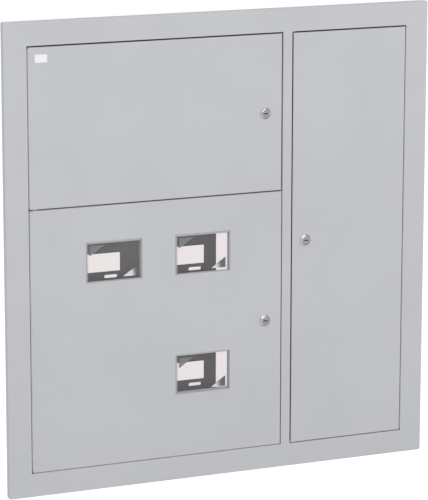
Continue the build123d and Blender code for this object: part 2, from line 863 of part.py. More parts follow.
def window_retainer(window):
    """Grey ring behind a window, set over to one side, with a recess for the pane."""
    clear_width = window_width - retainer_side_strip
    clear_height = window_height - retainer_end_strip
    clear_x = window["x"] - retainer_side_strip / 2
    clear_z = window["z"] - window["strip"] * retainer_end_strip / 2
    with BuildPart() as retainer:
        with BuildSketch(Plane.XZ.offset(overall_depth - sheet)):
            with Locations((window["x"], window["z"])):
                Rectangle(window_width + 2 * retainer_border, window_height + 2 * retainer_border)
            with Locations((clear_x, clear_z)):
                Rectangle(clear_width, clear_height, mode=Mode.SUBTRACT)
        extrude(amount=-retainer_depth)
        with BuildSketch(Plane.XZ.offset(overall_depth - sheet - retainer_lip)):
            with Locations((window["x"], window["z"])):
                Rectangle(window_width + 2 * pane_border, window_height + 2 * pane_border)
        extrude(amount=-pane_thickness, mode=Mode.SUBTRACT)
    return retainer


def window_pane(window):
    """Clear pane held in the retainer's groove."""
    with BuildPart() as pane:
        with BuildSketch(Plane.XZ.offset(overall_depth - sheet - retainer_lip)):
            with Locations((window["x"], window["z"])):
                Rectangle(window_width + 2 * pane_border, window_height + 2 * pane_border)
        extrude(amount=-pane_thickness)
    return pane


for number, window in windows.items():
    pieces[f"window_retainer_{number}"] = window_retainer(window)
    pieces[f"window_pane_{number}"] = window_pane(window)

# Blank badge with a raised rim, in the upper door's corner
badge_x = left_x0 + badge_inset + badge_width / 2
badge_z = open_z1 - badge_drop - badge_height / 2
with BuildPart() as badge:
    with BuildSketch(face_plane):
        with Locations((badge_x, badge_z)):
            RectangleRounded(badge_width, badge_height, badge_corner_radius)
    extrude(amount=badge_thickness)
    with BuildSketch(face_plane.offset(badge_thickness)):
        with Locations((badge_x, badge_z)):
            Rectangle(badge_width - 2 * badge_rim, badge_height - 2 * badge_rim)
    extrude(amount=-badge_rim_depth, mode=Mode.SUBTRACT)
pieces["badge"] = badge

for name, piece in pieces.items():
    piece.part.label = name
    export_step(piece.part, f"parts/{name}.step")
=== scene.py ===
import json
import math

import bmesh
import bpy
from mathutils import Euler, Matrix, Vector


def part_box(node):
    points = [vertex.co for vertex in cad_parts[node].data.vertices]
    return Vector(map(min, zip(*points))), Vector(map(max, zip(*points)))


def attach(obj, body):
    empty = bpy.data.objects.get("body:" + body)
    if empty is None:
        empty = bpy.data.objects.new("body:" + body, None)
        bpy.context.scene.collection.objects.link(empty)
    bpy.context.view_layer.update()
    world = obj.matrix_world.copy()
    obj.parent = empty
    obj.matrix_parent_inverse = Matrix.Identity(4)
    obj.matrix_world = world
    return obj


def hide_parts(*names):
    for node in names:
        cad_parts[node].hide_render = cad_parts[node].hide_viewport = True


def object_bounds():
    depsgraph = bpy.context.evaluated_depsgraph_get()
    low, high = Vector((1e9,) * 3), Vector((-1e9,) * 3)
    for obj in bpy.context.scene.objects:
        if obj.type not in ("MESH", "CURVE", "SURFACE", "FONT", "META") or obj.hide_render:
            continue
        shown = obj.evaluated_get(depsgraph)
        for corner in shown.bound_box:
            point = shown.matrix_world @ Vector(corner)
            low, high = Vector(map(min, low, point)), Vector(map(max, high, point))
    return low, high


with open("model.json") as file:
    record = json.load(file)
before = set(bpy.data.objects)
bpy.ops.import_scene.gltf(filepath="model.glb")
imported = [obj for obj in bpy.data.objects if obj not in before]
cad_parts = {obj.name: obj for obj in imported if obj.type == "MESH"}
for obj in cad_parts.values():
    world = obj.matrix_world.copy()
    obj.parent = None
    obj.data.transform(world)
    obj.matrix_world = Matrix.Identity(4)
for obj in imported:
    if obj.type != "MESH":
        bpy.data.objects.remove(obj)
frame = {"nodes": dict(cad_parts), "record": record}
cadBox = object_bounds()
mm = 0.001
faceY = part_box("upper_door_panel")[0][1]  # the doors' front
print("frame loaded:", len(frame["nodes"]), "nodes")


# a socket of a tree, so that maths on a pattern or a size reads as plain arithmetic
class Wire:
    def __init__(self, graph, socket):
        self.graph = graph
        self.socket = socket

    def maths(self, operation, first, second=0.0):
        return self.graph.wire("ShaderNodeMath", {"operation": operation}, {0: first, 1: second})

    def __add__(self, other):
        return self.maths("ADD", self, other)

    def __radd__(self, other):
        return self.maths("ADD", other, self)

    def __sub__(self, other):
        return self.maths("SUBTRACT", self, other)

    def __rsub__(self, other):
        return self.maths("SUBTRACT", other, self)

    def __mul__(self, other):
        return self.maths("MULTIPLY", self, other)

    def __rmul__(self, other):
        return self.maths("MULTIPLY", other, self)

    def __gt__(self, other):
        return self.maths("GREATER_THAN", self, other)

    def __lt__(self, other):
        return self.maths("LESS_THAN", self, other)

    def larger(self, other):
        return self.maths("MAXIMUM", self, other)

    def root(self):
        return self.maths("SQRT", self)

    def wave(self):
        return self.maths("SINE", self)

    # a pattern between 0 and 1 made a swing of the given width about 0
    def swing(self, width):
        return width * (self - 0.5)

    # smooth step from low to high
    def ramp(self, low, high):
        values = {"Value": self, "From Min": low, "From Max": high}
        return self.graph.wire("ShaderNodeMapRange", {"interpolation_type": "SMOOTHSTEP"}, values)


# any node of any tree: its type, its settings, then the values or links of its sockets
class Nodes:
    def __init__(self, tree):
        self.tree = tree

    def node(self, kind, settings=None, values=None):
        made = self.tree.nodes.new(kind)
        for name, value in (settings or {}).items():
            setattr(made, name, value)
        for key, value in (values or {}).items():
            for part in value if isinstance(value, list) else [value]:  # a list links several to one socket
                if isinstance(part, Wire):
                    self.tree.links.new(part.socket, made.inputs[key])
                else:
                    made.inputs[key].default_value = part
        return made

    def wire(self, kind, settings=None, values=None, output=0):
        return Wire(self, self.node(kind, settings, values).outputs[output])


# one material's tree, with the few calls that every finish below needs
class Graph(Nodes):
    def __init__(self, name):
        self.material = bpy.data.materials.new(name)
        self.material.use_nodes = True
        super().__init__(self.material.node_tree)
        self.tree.nodes.clear()

    def place(self, offset=(0, 0, 0), scale=(1, 1, 1)):
        start = self.wire("ShaderNodeTexCoord", output="Object")
        return self.wire("ShaderNodeMapping", {}, {"Vector": start, "Location": offset, "Scale": scale})

    def noise(self, vector, scale, detail=2.0):
        return self.wire("ShaderNodeTexNoise", {}, {"Vector": vector, "Scale": scale, "Detail": detail})

    def cells(self, vector, scale):
        return self.wire("ShaderNodeTexVoronoi", {}, {"Vector": vector, "Scale": scale}, "Color")

    def axes(self, vector):
        made = self.node("ShaderNodeSeparateXYZ", {}, {0: vector})
        return [Wire(self, output) for output in made.outputs]

    def blend(self, factor, first, second):
        values = {0: factor, 6: tone(first), 7: tone(second)}  # a colour mix has its factor and colours there
        return self.wire("ShaderNodeMix", {"data_type": "RGBA"}, values, 2)

    def bump(self, height, strength, distance):
        values = {"Height": height, "Strength": strength, "Distance": distance}
        return self.wire("ShaderNodeBump", {}, values)

    def finish(self, values):
        return self.show(self.wire("ShaderNodeBsdfPrincipled", {}, values))

    def show(self, shader):
        self.node("ShaderNodeOutputMaterial", {}, {0: shader})
        return self.material


def tone(colour):
    if isinstance(colour, Wire):
        return colour
    return (*colour[:3], 1.0)


# the grey powder coat of the frame, the doors and the box, and the darker one of the meter plates; each
# pair of colours is the coat and its faint clouds
powderCoat = {
    "boxColours": ((0.548, 0.555, 0.580), (0.530, 0.538, 0.564)),
    "plateColours": ((0.300, 0.310, 0.312), (0.285, 0.295, 0.297)),
    "cloudScale": 5.0,
    "cloudEdges": (0.35, 0.65),
    "grainScale": 900.0,
    "grainStrength": 0.06,
    "grainDepth": 0.1 * mm,
    "fleckScale": 270.0,
    "fleckRough": 0.08,
    "roughness": 0.52,
}


def makePowderCoat(name, colour, shade):
    graph = Graph(name)
    here = graph.place()
    cloud = graph.noise(here, powderCoat["cloudScale"])
    grain = graph.noise(here, powderCoat["grainScale"])
    fleck = graph.noise(here, powderCoat["fleckScale"])
    return graph.finish({
        "Base Color": graph.blend(cloud.ramp(*powderCoat["cloudEdges"]), colour, shade),
        "Roughness": powderCoat["roughness"] + fleck.swing(powderCoat["fleckRough"]),
        "Normal": graph.bump(grain, powderCoat["grainStrength"], powderCoat["grainDepth"]),
    })


# zinc plating on the rails, the panel and the fasteners: spangles with a haze over them
zinc = {
    "colour": (0.52, 0.53, 0.54),
    "shade": (0.40, 0.41, 0.43),
    "metallic": 0.9,
    "spangleScale": 160.0,
    "spangleShare": 0.6,
    "spangleRough": 0.14,
    "spangleStrength": 0.05,
    "spangleDepth": 0.1 * mm,
    "hazeScale": 30.0,
    "hazeShare": 0.4,
    "hazeRough": 0.1,
    "roughness": 0.36,
}


def makeZinc():
    graph = Graph("zincPlate")
    here = graph.place()
    spangle = graph.axes(graph.cells(here, zinc["spangleScale"]))[0]
    haze = graph.noise(here, zinc["hazeScale"])
    mottle = spangle * zinc["spangleShare"] + haze * zinc["hazeShare"]
    return graph.finish({
        "Base Color": graph.blend(mottle, zinc["colour"], zinc["shade"]),
        "Metallic": zinc["metallic"],
        "Roughness": zinc["roughness"] + spangle.swing(zinc["spangleRough"]) + haze.swing(zinc["hazeRough"]),
        "Normal": graph.bump(spangle, zinc["spangleStrength"], zinc["spangleDepth"]),
    })


# drawn brass of the two terminal bars, its lines along X, with a few dull stains
brass = {
    "colour": (0.72, 0.50, 0.20),
    "shade": (0.55, 0.36, 0.13),
    "drawLines": (20.0, 900.0, 900.0),
    "lineDetail": 3.0,
    "lineRough": 0.16,
    "lineStrength": 0.08,
    "lineDepth": 0.1 * mm,
    "stainScale": 40.0,
    "stainEdges": (0.4, 0.75),
    "stainRough": 0.2,
    "stainRoughEdges": (0.5, 0.8),
    "roughness": 0.26,
}


def makeBrass():
    graph = Graph("drawnBrass")
    lines = graph.noise(graph.place(scale=brass["drawLines"]), 1.0, brass["lineDetail"])
    stain = graph.noise(graph.place(), brass["stainScale"])
    dull = stain.ramp(*brass["stainRoughEdges"])
    return graph.finish({
        "Base Color": graph.blend(stain.ramp(*brass["stainEdges"]), brass["colour"], brass["shade"]),
        "Metallic": 1.0,
        "Roughness": brass["roughness"] + lines.swing(brass["lineRough"]) + brass["stainRough"] * dull,
        "Normal": graph.bump(lines, brass["lineStrength"], brass["lineDepth"]),
    })


# satin nickel of the locks, turned in fine rings about each lock's axis and duller on the face; a pale band at
# the rim is painted light over the shade round the head's foot, and the near black down in the key slot is
# painted shade of its recess; both fronts are distances out from the doors
lockMetal = {
    "colour": (0.37, 0.365, 0.35),
    "shade": (0.33, 0.325, 0.315),
    "smearScale": 260.0,
    "smearRough": 0.08,
    "roughness": 0.15,
    "ringScale": 5200.0,
    "ringStrength": 0.02,
    "ringDepth": 0.05 * mm,
    "face": (0.25, 0.247, 0.238),
    "faceRadius": 7.8 * mm,
    "faceFront": 5.5 * mm,
    "rim": (0.80, 0.795, 0.79),
    "rimStart": 11.7 * mm,
    "rimFade": 0.3 * mm,
    "slot": (0.012, 0.012, 0.012),
    "slotRadius": 5.6 * mm,
    "slotFront": 5.9 * mm,
    "slotRough": 0.7,
}


def makeLockMetal(name, centre):
    graph = Graph(name)
    x, y, z = graph.axes(graph.place(offset=(-centre[0], 0, -centre[2])))
    radius = (x * x + z * z).root()
    rings = (radius * lockMetal["ringScale"]).wave()
    smear = graph.noise(graph.place(), lockMetal["smearScale"])
    # the near black in the key slot is painted shade of its recess
    slot = (y > faceY - lockMetal["slotFront"]) * (radius < lockMetal["slotRadius"])
    face = (radius < lockMetal["faceRadius"]) * (y < faceY - lockMetal["faceFront"])
    # the pale band at the rim is painted light over the shade round the head's foot
    rim = radius.ramp(lockMetal["rimStart"], lockMetal["rimStart"] + lockMetal["rimFade"])
    metal = graph.blend(smear, lockMetal["colour"], lockMetal["shade"])
    metal = graph.blend(face, metal, lockMetal["face"])
    metal = graph.blend(rim, metal, lockMetal["rim"])
    roughness = lockMetal["roughness"] + smear.swing(lockMetal["smearRough"])
    return graph.finish({
        "Base Color": graph.blend(slot, metal, lockMetal["slot"]),
        "Metallic": 1.0 - slot,
        "Roughness": roughness + slot * lockMetal["slotRough"],
        "Normal": graph.bump(rings, lockMetal["ringStrength"], lockMetal["ringDepth"]),
    })


# plastics, rubber, tape and the hinge pins: each finish's colour and roughness. The pins' near black is painted
# shade where they show in the top gaps; the black rubber also serves as painted shade in the door gaps, and the
# pale tape is painted light in the gaps below
plainFinishes = {
    "bluePlastic": ((0.035, 0.12, 0.42), 0.42),
    "retainerGrey": ((0.42, 0.45, 0.49), 0.38),
    "badgeWhite": ((0.86, 0.86, 0.86), 0.30),
    "rubberBlack": ((0.022, 0.022, 0.023), 0.75),
    "trimGrey": ((0.40, 0.405, 0.42), 0.55),
    "blackenedPins": ((0.09, 0.09, 0.092), 0.45),
    "paleTape": ((0.88, 0.88, 0.89), 0.60),
}
plainSkin = {
    "driftScale": 25.0,
    "driftLift": 1.06,
    "speckScale": 1500.0,
    "speckRough": 0.1,
    "speckStrength": 0.05,
    "speckDepth": 0.1 * mm,
}


def makePlain(name, colour, roughness):
    graph = Graph(name)
    here = graph.place()
    speck = graph.noise(here, plainSkin["speckScale"])
    drift = graph.noise(here, plainSkin["driftScale"])
    lighter = tuple(min(1.0, part * plainSkin["driftLift"]) for part in colour)
    return graph.finish({
        "Base Color": graph.blend(drift, colour, lighter),
        "Roughness": roughness + speck.swing(plainSkin["speckRough"]),
        "Normal": graph.bump(speck, plainSkin["speckStrength"], plainSkin["speckDepth"]),
    })


# the panes: a faint rosy tint under a light haze, with a heavier veil down the left and right edges that is
# painted shade and sheen of the edges, a soft three-cornered painted glint at the top left, and a paler painted
# glint at the bottom right that fades from its tip
pane = {
    "cutOut": (123.0 * mm, 84.0 * mm),
    "tint": (0.897, 0.868, 0.868),
    "roughness": 0.06,
    "haze": (0.505, 0.505, 0.51),
    "hazeShare": 0.12,
    # the heavier veil down the left and right edges is painted shade and sheen of the pane's edges
    "edgeShadeAndSheen": (0.53, 0.53, 0.535),
    "edgeShare": 0.29,
    "leftEdge": 5.2 * mm,
    "rightEdge": 5.0 * mm,
    "glint": (0.235, 0.233, 0.236),
    "glintShare": 0.80,
    "glintInset": (8.3 * mm, 6.9 * mm),
    "glintSize": (33.75 * mm, 22.5 * mm),
    "cornerLight": (0.79, 0.785, 0.785),
    "cornerDark": (0.115, 0.119, 0.115),
    "cornerShare": 0.965,
    "cornerInset": (8.4 * mm, 5.9 * mm),
    "cornerSize": (32.5 * mm, 21.9 * mm),
    "cornerSlant": 0.15,
    "cornerFades": {"1": (0.54, 0.98), "2": (0.28, 0.78), "3": (0.24, 0.80)},  # each pane's own
}


def makePane(name, centre, fade):
    graph = Graph(name)
    x, y, z = graph.axes(graph.place(offset=(-centre[0], 0, -centre[2])))
    halfWidth, halfHeight = pane["cutOut"][0] / 2, pane["cutOut"][1] / 2
    # each painted glint is a right triangle, measured from its square corner in shares of its width and height
    glintLeft = pane["glintInset"][0] - halfWidth
    glintTop = halfHeight - pane["glintInset"][1]
    along = (x - glintLeft) * (1 / pane["glintSize"][0])
    down = (glintTop - z) * (1 / pane["glintSize"][1])
    # the top-left triangle is a painted glint
    glint = (x > glintLeft) * (z < glintTop) * (along + down < 1.0)
    cornerRight = halfWidth - pane["cornerInset"][0]
    cornerLow = pane["cornerInset"][1] - halfHeight
    back = (cornerRight - x) * (1 / pane["cornerSize"][0])
    rise = (z - cornerLow) * (1 / pane["cornerSize"][1])
    # the bottom-right triangle is a painted reflection, light at its tip and dark towards its square corner
    corner = (x < cornerRight) * (z > cornerLow) * (back + rise < 1.0)
    dark = ((1.0 - back) + rise * pane["cornerSlant"]).ramp(*fade)
    # the left and right strips of painted edge shade and sheen
    edge = (x < pane["leftEdge"] - halfWidth) + (x > halfWidth - pane["rightEdge"])
    colour = graph.blend(edge, pane["haze"], pane["edgeShadeAndSheen"])
    colour = graph.blend(glint, colour, pane["glint"])
    colour = graph.blend(corner, colour, graph.blend(dark, pane["cornerLight"], pane["cornerDark"]))
    share = pane["hazeShare"] + edge * (pane["edgeShare"] - pane["hazeShare"])
    share = share * (1.0 - glint) + glint * pane["glintShare"]
    share = share * (1.0 - corner) + corner * pane["cornerShare"]
    clear = graph.wire("ShaderNodeBsdfTransparent", {}, {"Color": tone(pane["tint"])})
    gloss = graph.wire("ShaderNodeBsdfPrincipled", {}, {"Base Color": colour, "Roughness": pane["roughness"]})
    return graph.show(graph.wire("ShaderNodeMixShader", {}, {0: share, 1: clear, 2: gloss}))


print("making finishes")
greyPaint = makePowderCoat("greyPowderCoat", *powderCoat["boxColours"])
platePaint = makePowderCoat("meterPlatePaint", *powderCoat["plateColours"])
zincPlate = makeZinc()
drawnBrass = makeBrass()
plain = {name: makePlain(name, *look) for name, look in plainFinishes.items()}


def boxCentre(node):
    low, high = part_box(node)
    return [(a + b) / 2 for a, b in zip(low, high)]


def dress(node, material):
    piece = frame["nodes"][node]
    for slot in piece.material_slots:
        slot.material = material


slotFinish = {
    "grey_paint": greyPaint,
    "dark_paint": platePaint,
    "zinc_steel": zincPlate,
    "brass": drawnBrass,
    "blue_plastic": plain["bluePlastic"],
    "light_grey_plastic": plain["retainerGrey"],
    "white_plastic": plain["badgeWhite"],
    "black_rubber": plain["rubberBlack"],
}
for part in frame["record"]["subparts"]:
    if part["material_slot"] in slotFinish:
        dress(part["node"], slotFinish[part["material_slot"]])
# the hinge pins' near black is painted shade where they show in the top gaps
for node in ("left_hinge_pins", "right_hinge_pins"):
    dress(node, plain["blackenedPins"])
for number, fade in pane["cornerFades"].items():
    dress("window_pane_" + number, makePane("pane" + number, boxCentre("window_pane_" + number), fade))


# a piece's mesh goes in as it stands, and rides on its body
def place(name, mesh, body, replaced=()):
    piece = bpy.data.objects.new(name, mesh)
    bpy.context.scene.collection.objects.link(piece)
    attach(piece, body)
    if replaced:
        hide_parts(*replaced)


# lock head: a low rim, a straight slope with softened edges up to the face, and a threaded barrel behind;
# lengths in millimetres, and rim and face are each a radius and a distance out from the door
lockHead = {
    "rim": (12.1, 1.8),
    "face": (7.9, 6.0),
    "edgeRound": 0.5,
    "edgeSteps": 4,
    "bore": 6.45,
    "boreEase": 0.25,
    "barrel": 9.0,
    "barrelEnd": 18.0,
    "shoulder": 5.0,
    "undercut": 5.5,
    "thread": 0.4,
    "threadStart": 6.0,
    "threadPitch": 1.0,
    "threadFlat": 0.1,
    "segments": 72,
    "sharpAngle": math.radians(34),
}


# a corner of an outline rounded off over its last stretch to each side
def softened(before, corner, after, reach, steps):
    corner = Vector(corner)
    start, end = (corner + (Vector(point) - corner).normalized() * reach for point in (before, after))
    shares = [step / steps for step in range(steps + 1)]
    return [tuple(start.lerp(corner, share).lerp(corner.lerp(end, share), share)) for share in shares]


# the head's closed outline, from the door outwards and back through the bore
def lockHeadOutline(head):
    foot, lip = (head["rim"][0], 0.0), (head["bore"], head["face"][1])
    points = [(head["barrel"], 0.0), foot]
    points += softened(foot, head["rim"], head["face"], head["edgeRound"], head["edgeSteps"])
    points += softened(head["rim"], head["face"], lip, head["edgeRound"], head["edgeSteps"])
    points += [(lip[0] + head["boreEase"], lip[1]), (lip[0], lip[1] - head["boreEase"])]
    root = head["barrel"] - head["thread"]
    points += [(head["bore"], -head["barrelEnd"]), (root, -head["barrelEnd"])]
    turns = int((head["barrelEnd"] - head["threadStart"]) / head["threadPitch"])
    for turn in range(turns):
        back = head["barrelEnd"] - turn * head["threadPitch"]
        points.append((root, -back + head["threadFlat"]))
        points.append((head["barrel"], -back + head["threadPitch"] / 2))
    points.append((root, -head["barrelEnd"] + turns * head["threadPitch"]))
    points += [(root, -head["undercut"]), (head["barrel"], -head["shoulder"])]
    return points


# the head's outline turned about a lock's axis
def turnedHead(name, head, centre, finish):
    outline = lockHeadOutline(head)
    shape = bmesh.new()
    rings = []
    for step in range(head["segments"]):
        angle = 2 * math.pi * step / head["segments"]
        rings.append([
            shape.verts.new((
                centre[0] + radius * mm * math.cos(angle),
                faceY - forward * mm,
                centre[2] + radius * mm * math.sin(angle),
            )) for radius, forward in outline
        ])
    for step, here in enumerate(rings):
        there = rings[(step + 1) % len(rings)]
        for index in range(len(outline)):
            after = (index + 1) % len(outline)
            shape.faces.new((here[index], here[after], there[after], there[index]))
    bmesh.ops.recalc_face_normals(shape, faces=shape.faces)
    mesh = bpy.data.meshes.new(name)
    shape.to_mesh(mesh)
    shape.free()
    for face in mesh.polygons:
        face.use_smooth = True
    mesh.set_sharp_from_angle(angle=head["sharpAngle"])
    mesh.materials.append(finish)
    return mesh


for door in ("upper", "lower", "right"):
    centre = boxCentre(door + "_lock_housing")
    metal = makeLockMetal(door + "LockMetal", centre)
    dress(door + "_lock_plug", metal)
    mesh = turnedHead(door + "LockHead", lockHead, centre, metal)
    place(door + "LockHead", mesh, door + "_door", [door + "_lock_housing"])
print("locks ready")


# a geometry tree with named lengths and vectors and a finish, grown into a plain mesh
class Growth(Nodes):
    def __init__(self, name, lengths, vectors=()):
        super().__init__(bpy.data.node_groups.new(name, "GeometryNodeTree"))
        kinds = {"Geometry": "Geometry"}
        kinds.update(dict.fromkeys(lengths, "Float"))
        kinds.update(dict.fromkeys(vectors, "Vector"))
        kinds["Finish"] = "Material"
        for size, kind in kinds.items():
            self.tree.interface.new_socket(size, in_out="INPUT", socket_type="NodeSocket" + kind)
        self.tree.interface.new_socket("Geometry", in_out="OUTPUT", socket_type="NodeSocketGeometry")
        start = self.node("NodeGroupInput")
        self.sizes = {socket.name: Wire(self, socket) for socket in start.outputs if socket.name}

    def vector(self, x=0.0, y=0.0, z=0.0):
        return self.wire("ShaderNodeCombineXYZ", {}, {0: x, 1: y, 2: z})

    def moved(self, shape, shift=(0, 0, 0), turn=(0, 0, 0)):
        values = {"Geometry": shape, "Translation": shift, "Rotation": turn}
        return self.wire("GeometryNodeTransform", {}, values)

    # the shape set at every point that the tree is given
    def scattered(self, shape):
        values = {"Points": self.sizes["Geometry"], "Instance": shape}
        return self.wire("GeometryNodeInstanceOnPoints", {}, values)

    def finish(self, shape):
        whole = self.wire("GeometryNodeRealizeInstances", {}, {"Geometry": shape})
        made = self.wire("GeometryNodeSetMaterial", {}, {"Geometry": whole, "Material": self.sizes["Finish"]})
        self.node("NodeGroupOutput", {}, {0: made})
        return self

    # values that are no input of the tree are passed over
    def grow(self, name, values, points=()):
        base = bpy.data.meshes.new(name + "Base")
        base.from_pydata(list(points), [], [])
        holder = bpy.data.objects.new(name + "Holder", base)
        bpy.context.scene.collection.objects.link(holder)
        modifier = holder.modifiers.new("growth", "NODES")
        modifier.node_group = self.tree
        for item in self.tree.interface.items_tree:
            if item.in_out == "INPUT" and item.name in values:
                modifier[item.identifier] = values[item.name]
        graph = bpy.context.evaluated_depsgraph_get()
        mesh = bpy.data.meshes.new_from_object(holder.evaluated_get(graph))
        bpy.data.objects.remove(holder)
        mesh.name = name
        return mesh


def joined(name, meshes):
    shape = bmesh.new()
    for mesh in meshes:
        shape.from_mesh(mesh)
    whole = bpy.data.meshes.new(name)
    shape.to_mesh(whole)
    shape.free()
    whole.materials.append(meshes[0].materials[0])
    return whole


upright = (math.radians(90), 0, 0)  # turns what is made lying down to face the front

# slotted clamp screws in a row along each of the two brass bars
clampScrew = {
    "Radius": 2.75 * mm,
    "Height": 2.6 * mm,
    "SlotWidth": 0.9 * mm,
    "SlotDepth": 1.3 * mm,
    "slotTurn": math.radians(35),
    "sides": 24,
    "count": 9,
    "pitch": 48.0 * mm,
}


def clampScrewTree():
    tree = Growth("clampScrews", ("Radius", "Height", "SlotWidth", "SlotDepth"))
    size = tree.sizes
    head = tree.wire("GeometryNodeMeshCylinder", {}, {
        "Vertices": clampScrew["sides"], "Radius": size["Radius"], "Depth": size["Height"],
    })
    # the cutter is longer than the head is wide, and its upper half stands out of the head
    cutter = tree.wire("GeometryNodeMeshCube", {}, {
        "Size": tree.vector(size["Radius"] * 3.0, size["SlotWidth"], size["SlotDepth"] * 2.0),
    })
    cutter = tree.moved(cutter, tree.vector(z=size["Height"] * 0.5), (0, 0, clampScrew["slotTurn"]))
    head = tree.wire("GeometryNodeMeshBoolean", {"operation": "DIFFERENCE"}, {"Mesh 1": head, "Mesh 2": cutter})
    head = tree.moved(head, tree.vector(y=size["Height"] * -0.5), upright)
    return tree.finish(tree.scattered(head))


def clampPlaces():
    places = []
    for bar in ("neutral_bar", "earth_bar"):
        centre, front = boxCentre(bar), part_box(bar)[0][1]
        for step in range(clampScrew["count"]):
            across = (step - (clampScrew["count"] - 1) / 2) * clampScrew["pitch"]
            places.append((centre[0] + across, front, centre[2]))
    return places


mesh = clampScrewTree().grow("clampScrews", {**clampScrew, "Finish": zincPlate}, clampPlaces())
place("clampScrews", mesh, "cabinet", ["terminal_screws"])

# hexagon mounting screws with their washers, at the places of the plain heads; the crown is the bevelled
# top, as shares of the height and of the width across the flats
mountScrew = {
    "Across": 8.0 * mm,
    "Height": 3.5 * mm,
    "Washer": 5.4 * mm,
    "WasherThickness": 0.9 * mm,
    "crownShare": 0.12,
    "crownTop": 0.84,
    "crownSides": 24,
    "washerSides": 28,
}


def mountScrewTree():
    tree = Growth("mountScrews", ("Across", "Height", "Washer", "WasherThickness"))
    size = tree.sizes
    bodyShare = 1.0 - mountScrew["crownShare"]
    crown = tree.wire("GeometryNodeMeshCone", {}, {
        "Vertices": mountScrew["crownSides"],
        "Radius Top": size["Across"] * (mountScrew["crownTop"] / 2),
        "Radius Bottom": size["Across"] * 0.5,
        "Depth": size["Height"] * mountScrew["crownShare"],
    })
    crown = tree.moved(crown, tree.vector(z=size["Height"] * bodyShare))
    hexagon = tree.wire("GeometryNodeMeshCylinder", {}, {
        "Vertices": 6, "Radius": size["Across"] * (1 / math.sqrt(3)), "Depth": size["Height"] * bodyShare,
    })
    hexagon = tree.moved(hexagon, tree.vector(z=size["Height"] * (bodyShare / 2)))
    washer = tree.wire("GeometryNodeMeshCylinder", {}, {
        "Vertices": mountScrew["washerSides"], "Radius": size["Washer"], "Depth": size["WasherThickness"],
    })
    washer = tree.moved(washer, tree.vector(z=size["WasherThickness"] * 0.5))
    screw = tree.wire("GeometryNodeJoinGeometry", {}, {0: [crown, hexagon, washer]})
    return tree.finish(tree.scattered(tree.moved(screw, turn=upright)))


# the middle of the rear face of each of a node's plain screw heads
def headPlaces(node):
    shape = bmesh.new()
    shape.from_mesh(frame["nodes"][node].data)
    bmesh.ops.remove_doubles(shape, verts=shape.verts, dist=0.001 * mm)
    places, seen = [], set()
    for start in shape.verts:
        if start in seen:
            continue
        seen.add(start)
        island, edge = [start], [start]
        while edge:
            for link in edge.pop().link_edges:
                for near in link.verts:
                    if near not in seen:
                        seen.add(near)
                        island.append(near)
                        edge.append(near)
        xs, ys, zs = zip(*(vertex.co for vertex in island))
        places.append(((min(xs) + max(xs)) / 2, max(ys), (min(zs) + max(zs)) / 2))
    shape.free()
    return places


mesh = mountScrewTree().grow("mountScrews", {**mountScrew, "Finish": zincPlate}, headPlaces("mounting_screws"))
place("mountScrews", mesh, "cabinet", ["mounting_screws"])

cornerSteps = 5  # of the edging below, in each of its rounded corners


# edging that follows a rectangle: the windows' thin lining and the rubber round the cable openings
def edgingTree():
    tree = Growth("edging", ("Width", "Height", "Band", "Depth", "Corner"), ("Place", "Turn"))
    size = tree.sizes
    path = tree.wire("GeometryNodeCurvePrimitiveQuadrilateral", {"mode": "RECTANGLE"}, {
        "Width": size["Width"] - size["Band"], "Height": size["Height"] - size["Band"],
    })
    path = tree.wire("GeometryNodeFilletCurve", {"mode": "POLY"}, {
        "Curve": path, "Count": cornerSteps, "Radius": size["Corner"],
    })
    section = tree.wire("GeometryNodeCurvePrimitiveQuadrilateral", {"mode": "RECTANGLE"}, {
        "Width": size["Band"], "Height": size["Depth"],
    })
    ring = tree.wire("GeometryNodeCurveToMesh", {}, {"Curve": path, "Profile Curve": section})
    return tree.finish(tree.moved(ring, size["Place"], size["Turn"]))


edging = edgingTree()

# the lining overlaps the sheet round each cut-out by its lip, and stands a little proud of the door
windowLining = {"Band": 2.6 * mm, "Depth": 1.2 * mm, "Corner": 0.3 * mm, "lip": 1.0 * mm, "proud": 0.5 * mm}
for number in pane["cornerFades"]:
    centre = boxCentre("window_pane_" + number)
    mesh = edging.grow("windowLining" + number, {
        **windowLining,
        "Width": pane["cutOut"][0] + 2 * windowLining["lip"],
        "Height": pane["cutOut"][1] + 2 * windowLining["lip"],
        "Place": (centre[0], faceY + windowLining["Depth"] / 2 - windowLining["proud"], centre[2]),
        "Turn": upright,
        "Finish": plain["trimGrey"],
    })
    place("windowLining" + number, mesh, "lower_door")

# each opening is its middle along X and its width, in the top and the bottom alike
cableEdging = {
    "Height": 66.0 * mm,
    "Band": 3.0 * mm,
    "Depth": 5.0 * mm,
    "Corner": 3.0 * mm,
    "y": -75.0 * mm,
    "halfSheet": 0.6 * mm,
    "openings": [(-144.75 * mm, 260.0 * mm), (295.5 * mm, 140.0 * mm)],
}


def cableRings():
    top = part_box("top_wall")[1][2] - cableEdging["halfSheet"]
    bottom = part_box("bottom_wall")[0][2] + cableEdging["halfSheet"]
    return [
        edging.grow("cableRing", {
            **cableEdging,
            "Width": width,
            "Place": (x, cableEdging["y"], level),
            "Turn": (0, 0, 0),
            "Finish": plain["rubberBlack"],
        }) for level in (top, bottom) for x, width in cableEdging["openings"]
    ]


# black strips on the door returns that show dark through their gaps, as painted shade there, and thin pale
# strips on the two left doors' hinge-side returns, which show light, as painted light there
gapShadeStrip = {"thickness": 0.7 * mm, "front": 1.0 * mm, "width": 8.0 * mm, "endGap": 4.0 * mm}
hingeGapLight = {"thickness": 0.3 * mm, "front": 1.2 * mm, "width": 7.5 * mm, "endGap": 4.0 * mm}


